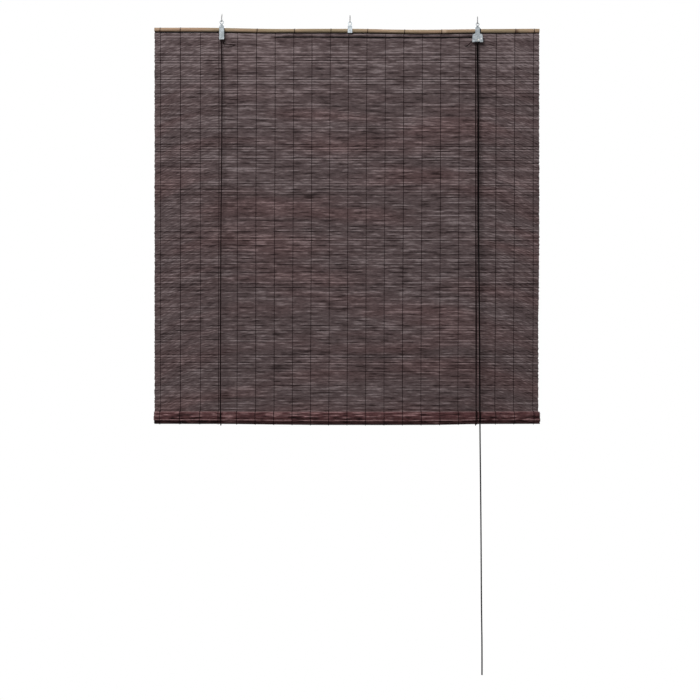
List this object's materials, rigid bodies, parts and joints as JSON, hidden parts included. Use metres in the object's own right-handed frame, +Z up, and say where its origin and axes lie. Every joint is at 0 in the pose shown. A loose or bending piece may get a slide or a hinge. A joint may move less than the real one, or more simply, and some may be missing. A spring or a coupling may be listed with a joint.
{
  "type": "bamboo roll up blind",
  "caption": "Woven bamboo roll-up blind on a cane rail with screw hooks, a cord lock, a pulley, lift cords under the roll and a hanging pull cord.",
  "frame": {"origin": "the shoulder of the middle screw hook, on its axis, where its shank leaves the ceiling", "axes": "+X to the right seen from the room, +Y away from the room towards the window, +Z up along the hook's shank"},
  "size_m": [1.001, 0.0455, 1.7131],
  "materials": {
    "stained_bamboo": "matt dark brown stain with streaks",
    "rolled_bamboo": "matt dark brown stain, reddish in the roll",
    "rail_cane": "natural tan bamboo cane, satin",
    "core_wood": "plain matt wood",
    "warp_cotton": "thin dark thread",
    "lift_cord_cotton": "dark brown twisted cord",
    "pull_cord_cotton": "dark grey-brown cord",
    "zinc_plate": "bluish zinc plate, lightly worn",
    "wheel_nylon": "off-white moulded nylon",
    "roller_brass": "dull turned brass"
  },
  "bodies": {
    "ceiling_hooks": {"screw_hook_left": "zinc_plate", "screw_hook_middle": "zinc_plate", "screw_hook_right": "zinc_plate"},
    "headrail": {"top_rail": "rail_cane", "left_pulley_block": "zinc_plate", "middle_hanger": "zinc_plate", "cord_lock_housing": "zinc_plate", "rail_nails": "zinc_plate", "left_sheave_pin": "zinc_plate", "lock_sheave_pin": "zinc_plate", "lock_guide_pin": "zinc_plate", "mat_slats": "stained_bamboo", "warp_thread_01": "warp_cotton", "warp_thread_02": "warp_cotton", "warp_thread_03": "warp_cotton", "warp_thread_04": "warp_cotton", "warp_thread_05": "warp_cotton", "warp_thread_06": "warp_cotton", "warp_thread_07": "warp_cotton", "warp_thread_08": "warp_cotton", "warp_thread_09": "warp_cotton", "warp_thread_10": "warp_cotton", "warp_thread_11": "warp_cotton", "warp_thread_12": "warp_cotton", "warp_thread_13": "warp_cotton", "warp_thread_14": "warp_cotton", "warp_thread_15": "warp_cotton", "warp_thread_16": "warp_cotton", "warp_thread_17": "warp_cotton", "warp_thread_18": "warp_cotton", "warp_thread_19": "warp_cotton", "warp_thread_20": "warp_cotton", "warp_thread_21": "warp_cotton", "left_lift_cord_front": "lift_cord_cotton", "right_lift_cord_front": "lift_cord_cotton", "left_lift_cord_back": "lift_cord_cotton", "right_lift_cord_back": "lift_cord_cotton", "left_cord_hitch": "lift_cord_cotton", "right_cord_hitch": "lift_cord_cotton", "cross_cord": "lift_cord_cotton", "right_cord_in_lock": "lift_cord_cotton", "pull_cord_upper": "pull_cord_cotton"},
    "lift_slings": {"left_sling": "lift_cord_cotton", "right_sling": "lift_cord_cotton"},
    "roll": {"rolled_mat": "rolled_bamboo", "core_rod": "core_wood"},
    "pull_cord_end": {"pull_cord_lower": "pull_cord_cotton"},
    "left_wheel": {"left_sheave": "wheel_nylon"},
    "lock_wheel": {"lock_sheave": "wheel_nylon"},
    "lock_roller_axle": {"lock_roller": "roller_brass"}
  },
  "joints": [
    {"name": "blind_swing", "type": "hinge", "parent": "ceiling_hooks", "child": "headrail", "pos_m": [0, 0, -0.00495], "axis": [1, 0, -0.0086], "range_deg": [-25, 25]},
    {"name": "roll_lift", "type": "slide", "parent": "headrail", "child": "lift_slings", "axis": [0, 0, 1], "range_m": [-0.2, 0.93], "deforming": ["mat_slats", "warp_thread_01", "warp_thread_02", "warp_thread_03", "warp_thread_04", "warp_thread_05", "warp_thread_06", "warp_thread_07", "warp_thread_08", "warp_thread_09", "warp_thread_10", "warp_thread_11", "warp_thread_12", "warp_thread_13", "warp_thread_14", "warp_thread_15", "warp_thread_16", "warp_thread_17", "warp_thread_18", "warp_thread_19", "warp_thread_20", "warp_thread_21", "left_lift_cord_front", "right_lift_cord_front", "left_lift_cord_back", "right_lift_cord_back", "pull_cord_upper"]},
    {"name": "roll_turn", "type": "hinge", "parent": "lift_slings", "child": "roll", "pos_m": [-0.008, -0.0079, -1.034], "axis": [1, 0, 0], "range_deg": [-3066, 660]},
    {"name": "pull_cord_draw", "type": "slide", "parent": "lift_slings", "child": "pull_cord_end", "axis": [0, 0, -1], "range_m": [-0.61, 2.8], "deforming": ["pull_cord_lower"]},
    {"name": "left_sheave_turn", "type": "hinge", "parent": "headrail", "child": "left_wheel", "pos_m": [-0.333, 0, -0.044], "axis": [0, 1, 0], "continuous": true},
    {"name": "lock_sheave_turn", "type": "hinge", "parent": "headrail", "child": "lock_wheel", "pos_m": [0.3323, 0, -0.0435], "axis": [0, 1, 0], "continuous": true},
    {"name": "lock_roller_slide", "type": "slide", "parent": "headrail", "child": "lock_roller_axle", "axis": [-0.5, 0, -0.866], "range_m": [0, 0.0024]}
  ],
  "couplings": [
    {"joint": "roll_turn", "follows": "roll_lift", "rad_per_m": -57.471},
    {"joint": "pull_cord_draw", "follows": "roll_lift", "ratio": 3},
    {"joint": "left_sheave_turn", "follows": "roll_lift", "rad_per_m": 645.16},
    {"joint": "lock_sheave_turn", "follows": "roll_lift", "rad_per_m": 404.04}
  ]
}
